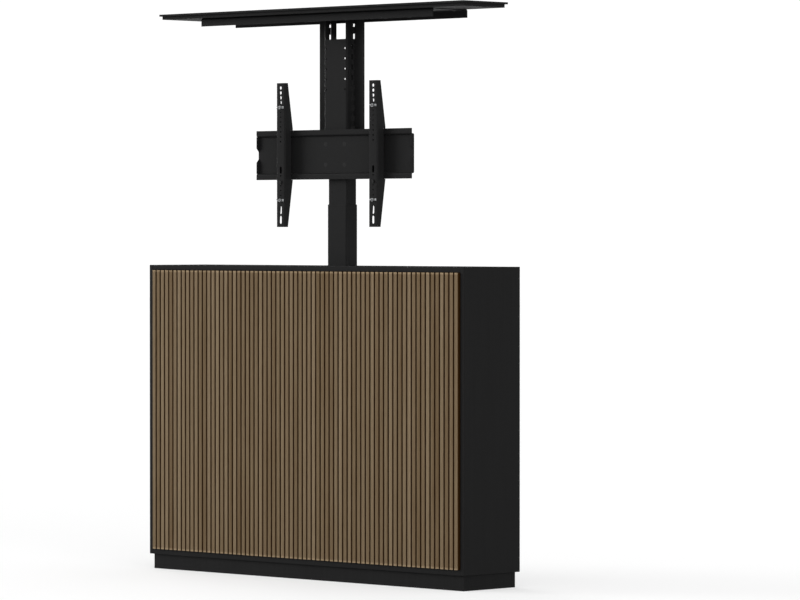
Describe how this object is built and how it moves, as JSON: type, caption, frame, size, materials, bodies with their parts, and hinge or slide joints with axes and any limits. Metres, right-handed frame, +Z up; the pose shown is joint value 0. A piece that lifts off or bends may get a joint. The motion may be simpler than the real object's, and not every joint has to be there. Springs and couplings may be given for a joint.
{
  "type": "tv lift cabinet",
  "caption": "Slatted media cabinet whose lid rises on a telescopic lift column that carries a screen mount with two hooked arms.",
  "frame": {"origin": "on the floor, under the middle of the whole part's box", "axes": "+X to the right as seen from the front, +Y to the back, +Z up; drawn raised, as in the picture"},
  "size_m": [1.36, 0.247, 1.732],
  "materials": {
    "black_board": "black laminate, fine satin grain",
    "slat_wood": "brown wood veneer, matt lacquer",
    "back_board": "thin black backing board, matt",
    "black_steel": "black powder coat, satin",
    "zinc_steel": "bright zinc plate",
    "black_plastic": "black moulded plastic, matt",
    "cast_housing": "die cast, matt"
  },
  "bodies": {
    "cabinet": {"side_panel_left": "black_board", "side_panel_right": "black_board", "bottom_board": "black_board", "top_rail_front": "black_board", "top_rail_back": "black_board", "top_rail_left": "black_board", "top_rail_right": "black_board", "plinth_front": "black_board", "plinth_back": "black_board", "plinth_left": "black_board", "plinth_right": "black_board", "front_board": "black_board", "front_slats": "slat_wood", "stretcher_rail": "black_board", "back_panel_left": "back_board", "back_panel_right": "back_board", "service_panel": "back_board", "service_screws": "black_steel", "cable_grommet": "black_plastic", "column_base_plate": "black_steel", "base_bolts": "zinc_steel", "column_outer_tube": "black_steel", "outer_collar": "black_plastic", "column_saddle": "black_steel", "saddle_screws": "zinc_steel", "gearbox_housing": "cast_housing", "lift_motor": "black_steel", "controller_case": "black_plastic", "controller_cover": "black_steel", "mains_inlet": "black_plastic", "drive_spindle": "zinc_steel"},
    "middle_stage": {"column_middle_tube": "black_steel", "middle_collar": "black_plastic", "middle_glide": "black_plastic", "middle_nut": "black_plastic", "hollow_spindle": "zinc_steel"},
    "carriage": {"column_inner_tube": "black_steel", "inner_glide": "black_plastic", "inner_nut": "black_plastic", "column_head": "black_steel", "head_bolts": "black_steel", "mast_channel": "black_steel", "mast_back_plate": "black_steel", "mast_top_plate": "black_steel", "mast_bolts": "zinc_steel", "crossbar": "black_steel", "crossbar_screws": "black_steel", "lid_bracket": "black_steel", "lid_screws": "zinc_steel", "lid_panel": "black_board"},
    "arm_left": {"arm_left": "black_steel", "latch_left": "zinc_steel", "latch_screws_left": "black_steel", "screen_screws_left": "zinc_steel", "screen_plates_left": "black_steel"},
    "arm_right": {"arm_right": "black_steel", "latch_right": "zinc_steel", "latch_screws_right": "black_steel", "screen_screws_right": "zinc_steel", "screen_plates_right": "black_steel"}
  },
  "joints": [
    {"name": "middle_lift", "type": "slide", "parent": "cabinet", "child": "middle_stage", "axis": [0, 0, 1], "range_m": [-0.421, 0]},
    {"name": "inner_lift", "type": "slide", "parent": "middle_stage", "child": "carriage", "axis": [0, 0, 1], "range_m": [-0.361, 0]},
    {"name": "arm_left_slide", "type": "slide", "parent": "carriage", "child": "arm_left", "axis": [1, 0, 0], "range_m": [-0.1, 0.14]},
    {"name": "arm_right_slide", "type": "slide", "parent": "carriage", "child": "arm_right", "axis": [1, 0, 0], "range_m": [-0.14, 0.1]}
  ],
  "couplings": [
    {"joint": "inner_lift", "follows": "middle_lift", "ratio": 0.85748}
  ]
}
